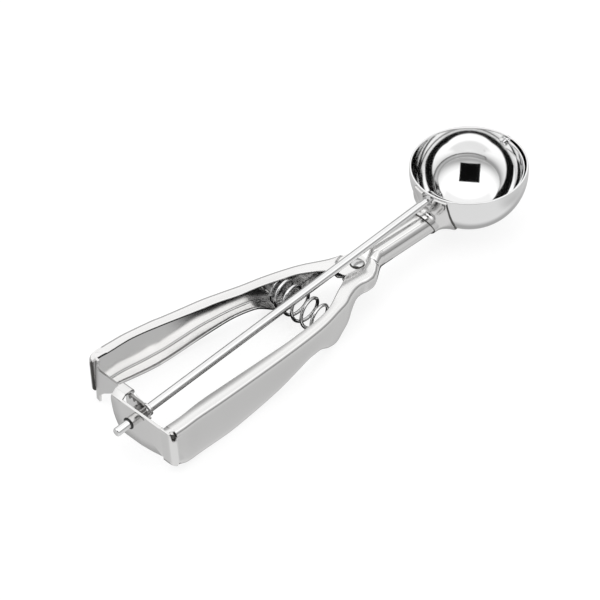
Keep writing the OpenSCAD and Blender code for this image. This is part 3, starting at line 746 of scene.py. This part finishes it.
edge_o = on_sphere(s[:, 0], s[:, 1], 27.45)
edge_i = on_sphere(s[:, 0], s[:, 1], 26.45)
ring0 = []
collar_axis = np.array([1.0, 0, 0]) @ RT.T
start = []
for k in range(n):
    a = ang[k]
    # the collar's rear edge slopes forward towards its lower side
    start.append(min(39.1 + (4.4 - (NECK_Z + 6.15 * math.sin(a))) * 0.56, 44.2))
    ring0.append(np.array([start[k] + 2.4, 6.2 * math.cos(a), NECK_Z + 6.2 * math.sin(a)]) @ RT.T + PIVOT)
ring0 = np.array(ring0)
ring_back = np.array([p - collar_axis * 2.4 for p in ring0])
ring_bore = np.array([np.array([start[k], 5.62 * math.cos(ang[k]), NECK_Z + 5.62 * math.sin(ang[k])]) @ RT.T + PIVOT for k in range(n)])
ring_bore2 = np.array([np.array([44.5, 5.62 * math.cos(a), NECK_Z + 5.62 * math.sin(a)]) @ RT.T + PIVOT for a in ang])
rings = [rod(ring_bore2), rod(ring_bore), rod(ring_bore + (ring_back - ring_bore) * 0.75), rod(ring_back + collar_axis * 0.15)]
steps = 16
for i in range(steps + 1):
    t = i / steps
    h00, h10, h01, h11 = 2 * t ** 3 - 3 * t * t + 1, t ** 3 - 2 * t * t + t, 3 * t * t - 2 * t ** 3, t ** 3 - t * t
    ring = []
    for k in range(n):
        p0, p1 = ring0[k], edge_o[k]
        nrm = p1 / np.linalg.norm(p1)
        d = p1 - p0
        m0 = collar_axis * np.linalg.norm(d) * 1.1
        tang = d - nrm * float(d @ nrm)
        tl = np.linalg.norm(tang)
        tang = tang / max(tl, 1e-6) * np.linalg.norm(d) * 0.9
        q = h00 * p0 + h10 * m0 + h01 * p1 + h11 * tang
        L = np.linalg.norm(q)
        if L < 27.2:
            q = q * (27.2 / L)
        ring.append(q)
    rings.append(rod(ring))
lips = on_sphere(s[:, 0], s[:, 1], 27.2)
rings.append(rod(on_sphere(s[:, 0] * 1.004, s[:, 1] * 1.0, 27.25)))
rings.append(rod(edge_i))
rings.append(rod(on_sphere(s[:, 0] * 0.5, cen[1] + (s[:, 1] - cen[1]) * 0.5, 26.45)))
socket.loft(rings)


def in_seam_shade(c):
    """The narrow edge faces of the collar and the saddle at the joint with the neck and the bowl, which get the dark
    steel as painted shade of those gaps.
    """
    q = (c * 1000 - SHIFT) @ RL
    if 26.5 < np.linalg.norm(q) < 27.22 and q[0] < -12 and q[1] < -7.9 and q[2] < 1.6:
        return True
    q = (q - PIVOT) @ RT
    return bool(np.hypot(q[1], q[2] - NECK_Z) < 6.19 and q[0] < 39.1 + (4.4 - q[2]) * 0.56 + 0.3)


socket.build("bowl_socket_casting", CAST, "frame", ["bowl_socket"], 45, (GAP_SHADE, in_seam_shade))

# The toothed end of the arm, which runs into the shaded gap between the plates, is painted dark as shade; the rest of
# it is bright.
ARM_BAR_SHADED = ARM.copy()
ARM_BAR_SHADED.name = "arm_bar_end_shade_steel"
at = ARM_BAR_SHADED.node_tree
a_bsdf = next(n for n in at.nodes if n.type == "BSDF_PRINCIPLED")
a_old = a_bsdf.inputs["Base Color"].links[0].from_socket
a_co = at.nodes.new("ShaderNodeTexCoord")
a_sx = at.nodes.new("ShaderNodeSeparateXYZ")
a_mr = at.nodes.new("ShaderNodeMapRange")
a_mr.interpolation_type = "SMOOTHSTEP"
a_mr.inputs["From Min"].default_value, a_mr.inputs["From Max"].default_value = 0.0030, 0.0060
a_mix = at.nodes.new("ShaderNodeMix")
a_mix.data_type = "RGBA"
a_mix.inputs[7].default_value = (0.82, 0.815, 0.81, 1)
at.links.new(a_co.outputs["Object"], a_sx.inputs["Vector"])
at.links.new(a_sx.outputs["Y"], a_mr.inputs["Value"])
at.links.new(a_mr.outputs["Result"], a_mix.inputs[0])
at.links.new(a_old, a_mix.inputs[6])
at.links.new(a_mix.outputs[2], a_bsdf.inputs["Base Color"])

# --------------------------------------------- CAD pieces with soft edges ----
for name, mat, width in (("rack", ARM_BAR_SHADED, 0.12), ("rack_guide", HANDLE, 0.12), ("pinion", ARM, 0.08),
                         ("pivot_sleeve", BUSH, 0.1), ("spring_seat_fixed", BUSH, 0.2), ("spring_seat_moving", BUSH, 0.2)):
    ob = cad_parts[name]
    ob.data.materials.clear()
    ob.data.materials.append(mat)
    wd = ob.modifiers.new("weld", "WELD")
    wd.merge_threshold = 1e-6
    bv = ob.modifiers.new("soft_edges", "BEVEL")
    bv.width = width / 1000
    bv.segments = 2
    bv.limit_method = "ANGLE"
    bv.angle_limit = math.radians(30)

# ------------------------------------------------------------------ stage ----
me = bpy.data.meshes.new("floor")
S = 6.0
me.from_pydata([(-S, -S, -0.0002), (S, -S, -0.0002), (S, S, -0.0002), (-S, S, -0.0002)], [], [(0, 1, 2, 3)])
floor = bpy.data.objects.new("floor", me)
bpy.context.scene.collection.objects.link(floor)
fm = bpy.data.materials.new("floor_paper")
fm.use_nodes = True
ft = fm.node_tree
fb = ft.nodes["Principled BSDF"]
fb.inputs["Roughness"].default_value = 0.9
fb.inputs["Specular IOR Level"].default_value = 0.0
fb.inputs["Emission Color"].default_value = (1.0, 1.0, 1.0, 1.0)
fb.inputs["Emission Strength"].default_value = 0.80
fn = ft.nodes.new("ShaderNodeTexNoise")
fn.inputs["Scale"].default_value = 300
fr = ft.nodes.new("ShaderNodeValToRGB")
fr.color_ramp.elements[0].color = (0.26, 0.26, 0.26, 1)
fr.color_ramp.elements[1].color = (0.29, 0.29, 0.29, 1)
ft.links.new(fn.outputs["Fac"], fr.inputs["Fac"])
ft.links.new(fr.outputs["Color"], fb.inputs["Base Color"])
me.materials.append(fm)
floor.visible_glossy = False

# The floor between the handles lies in their shade. This card is only for reflections.
me = bpy.data.meshes.new("shade_card")
me.from_pydata([(-0.100, -0.026, 0.0001), (0.046, -0.011, 0.0001), (0.046, 0.010, 0.0001), (-0.100, 0.030, 0.0001)], [], [(0, 1, 2, 3)])
card = bpy.data.objects.new("shade_card", me)
bpy.context.scene.collection.objects.link(card)
cm = bpy.data.materials.new("shade")
cm.use_nodes = True
ct = cm.node_tree
ct.nodes.clear()
c_out = ct.nodes.new("ShaderNodeOutputMaterial")
c_em = ct.nodes.new("ShaderNodeEmission")
c_co = ct.nodes.new("ShaderNodeTexCoord")
c_sx = ct.nodes.new("ShaderNodeSeparateXYZ")
ct.links.new(c_co.outputs["Object"], c_sx.inputs["Vector"])


def c_map(sock, a, b, lo, hi):
    n = ct.nodes.new("ShaderNodeMapRange")
    n.interpolation_type = "SMOOTHSTEP"
    n.inputs["From Min"].default_value, n.inputs["From Max"].default_value = a, b
    n.inputs["To Min"].default_value, n.inputs["To Max"].default_value = lo, hi
    ct.links.new(sock, n.inputs["Value"])
    return n.outputs["Result"]


c_mul = ct.nodes.new("ShaderNodeMath")
c_mul.operation = "MULTIPLY"
ct.links.new(c_map(c_sx.outputs["X"], -0.062, -0.034, 1.0, 0.0), c_mul.inputs[0])
ct.links.new(c_map(c_sx.outputs["Y"], -0.010, 0.004, 0.0, 1.0), c_mul.inputs[1])
ct.links.new(c_map(c_mul.outputs["Value"], 0.0, 1.0, 0.008, 0.52), c_em.inputs["Color"])
ct.links.new(c_em.outputs["Emission"], c_out.inputs["Surface"])
me.materials.append(cm)
card.visible_camera = False
card.visible_diffuse = False
card.visible_shadow = False
card.visible_transmission = False

# A narrow near-black flag beside the moving handle's top flange, again only for reflections: painted shade that the
# flange's lip reflects.
me = bpy.data.meshes.new("shade_flag")
vs, fs = [], []
for i, x in enumerate(np.linspace(-123, -42, 28)):
    w = 0.4 + 4.0 * (1 - smooth(-95, -50, x))
    vs += [tuple(lever([(x, -(TOP_M(x) + 0.2), -1.6)])[0]), tuple(lever([(x, -(TOP_M(x) - w), -1.6)])[0])]
    if i:
        fs.append((2 * i - 2, 2 * i - 1, 2 * i + 1, 2 * i))
me.from_pydata([tuple(map(float, v)) for v in vs], [], fs)
flag = bpy.data.objects.new("shade_flag", me)
bpy.context.scene.collection.objects.link(flag)
gm = bpy.data.materials.new("flag_dark_shade")
gm.use_nodes = True
gt = gm.node_tree
gb = gt.nodes["Principled BSDF"]
gb.inputs["Roughness"].default_value = 0.95
gb.inputs["Specular IOR Level"].default_value = 0.0
gn = gt.nodes.new("ShaderNodeTexNoise")
gn.inputs["Scale"].default_value = 400
gr = gt.nodes.new("ShaderNodeValToRGB")
gr.color_ramp.elements[0].color = (0.02, 0.02, 0.02, 1)
gr.color_ramp.elements[1].color = (0.04, 0.04, 0.04, 1)
gt.links.new(gn.outputs["Fac"], gr.inputs["Fac"])
gt.links.new(gr.outputs["Color"], gb.inputs["Base Color"])
me.materials.append(gm)
flag.visible_camera = False
flag.visible_diffuse = False
flag.visible_shadow = False
flag.visible_transmission = False

# A white tent: bright above, greyer below, and with a dark opening at one side.
world = bpy.data.worlds.new("studio")
bpy.context.scene.world = world
world.use_nodes = True
wt = world.node_tree
wt.nodes.clear()
wo = wt.nodes.new("ShaderNodeOutputWorld")
bg = wt.nodes.new("ShaderNodeBackground")
tc = wt.nodes.new("ShaderNodeTexCoord")
sx = wt.nodes.new("ShaderNodeSeparateXYZ")
mr = wt.nodes.new("ShaderNodeMapRange")
mr.inputs["From Min"].default_value = -1
mr.inputs["From Max"].default_value = 1
ramp = wt.nodes.new("ShaderNodeValToRGB")
els = ramp.color_ramp.elements
els[0].position, els[0].color = 0.0, (0.40, 0.40, 0.40, 1)
els[1].position, els[1].color = 1.0, (1.40, 1.40, 1.40, 1)
for z, val in ((-0.85, 0.40), (-0.76, 0.44), (-0.69, 0.52), (-0.61, 0.62), (-0.3, 0.70), (-0.07, 0.62), (0.0, 0.22), (0.07, 0.24), (0.15, 0.38), (0.34, 0.44),
               (0.50, 0.95), (0.68, 1.34)):
    e = els.new((z + 1) / 2)
    e.color = (val, val, val, 1)
wt.links.new(tc.outputs["Generated"], sx.inputs["Vector"])
wt.links.new(sx.outputs["Z"], mr.inputs["Value"])
wt.links.new(mr.outputs["Result"], ramp.inputs["Fac"])


def w_math(op, a, b):
    n = wt.nodes.new("ShaderNodeMath")
    n.operation = op
    for k, v in enumerate((a, b)):
        if v is None:
            continue
        if isinstance(v, (int, float)):
            n.inputs[k].default_value = v
        else:
            wt.links.new(v, n.inputs[k])
    return n.outputs["Value"]


def w_map(sock, a, b, lo, hi):
    n = wt.nodes.new("ShaderNodeMapRange")
    n.interpolation_type = "SMOOTHSTEP"
    n.inputs["From Min"].default_value, n.inputs["From Max"].default_value = a, b
    n.inputs["To Min"].default_value, n.inputs["To Max"].default_value = lo, hi
    wt.links.new(sock, n.inputs["Value"])
    return n.outputs["Result"]


def w_dot(v):
    n = wt.nodes.new("ShaderNodeVectorMath")
    n.operation = "DOT_PRODUCT"
    wt.links.new(tc.outputs["Generated"], n.inputs[0])
    n.inputs[1].default_value = tuple(float(c) for c in v)
    return n.outputs["Value"]


def panel(tone, az, el, half_w, half_h, soft, value):
    """A rectangular panel of the tent, seen from the object in direction az, el of the rod frame, in degrees."""
    a, e = math.radians(az), math.radians(el)
    c = np.array([math.cos(e) * math.cos(a), math.cos(e) * math.sin(a), math.sin(e)]) @ RL.T
    r = np.cross([0, 0, 1], c)
    r /= np.linalg.norm(r)
    u = np.cross(c, r)
    m = w_map(w_dot(c), 0.1, 0.3, 0.0, 1.0)
    for v, h in ((r, half_w), (u, half_h)):
        d = w_math("ABSOLUTE", w_dot(v), None)
        m = w_math("MULTIPLY", m, w_map(d, math.sin(math.radians(h - soft)), math.sin(math.radians(h + soft)), 1.0, 0.0))
    n = wt.nodes.new("ShaderNodeMix")
    n.data_type = "FLOAT"
    wt.links.new(m, n.inputs[0])
    wt.links.new(tone, n.inputs[2])
    n.inputs[3].default_value = value
    return n.outputs[0]


tone = w_map(ramp.outputs["Color"], 0.0, 2.0, 0.0, 2.0)
tone.node.interpolation_type = "LINEAR"
tone = panel(tone, 37, 58, 42, 21, 6, 1.04)
tone = panel(tone, -130, -50, 42, 44, 12, 0.80)
tone = panel(tone, -141.5, 47.3, 20.4, 19.0, 0.6, 0.004)
wt.links.new(tone, bg.inputs["Color"])
bg.inputs["Strength"].default_value = 1.0
wt.links.new(bg.outputs["Background"], wo.inputs["Surface"])

key = bpy.data.lights.new("key", "AREA")
key.shape = "DISK"
key.size = 1.6
key.energy = 3.0
ko = bpy.data.objects.new("key", key)
bpy.context.scene.collection.objects.link(ko)
ko.location = (0.2, 0.5, 1.6)
ko.visible_glossy = False
dv = np.array([0.0, 0.0, 0.0]) - np.array(ko.location)
from mathutils import Vector
ko.rotation_euler = Vector(dv).to_track_quat("-Z", "Y").to_euler()

# ----------------------------------------------------------------- camera ----
az, el, roll = math.radians(-132.94), math.radians(44.08), math.radians(-3.85)
back = np.array([math.cos(el) * math.cos(az), math.cos(el) * math.sin(az), math.sin(el)])
right = np.cross([0, 0, 1], back)
right /= np.linalg.norm(right)
up = np.cross(back, right)
r2 = right * math.cos(roll) + up * math.sin(roll)
u2 = -right * math.sin(roll) + up * math.cos(roll)
eye = (np.array([-663.06, -588.97, 776.45]) * 0.93)
cam = bpy.data.cameras.new("camera")
cam.sensor_width = 36.0
cam.lens = 148.35
cam.clip_start = 0.05
cam.clip_end = 20
co = bpy.data.objects.new("camera", cam)
bpy.context.scene.collection.objects.link(co)
M = np.eye(4)
M[:3, 0], M[:3, 1], M[:3, 2] = r2 @ RL.T, u2 @ RL.T, back @ RL.T
M[:3, 3] = rod(eye)[0]
co.matrix_world = Matrix(M.tolist())
bpy.context.scene.camera = co
bpy.context.scene.view_settings.view_transform = "Standard"
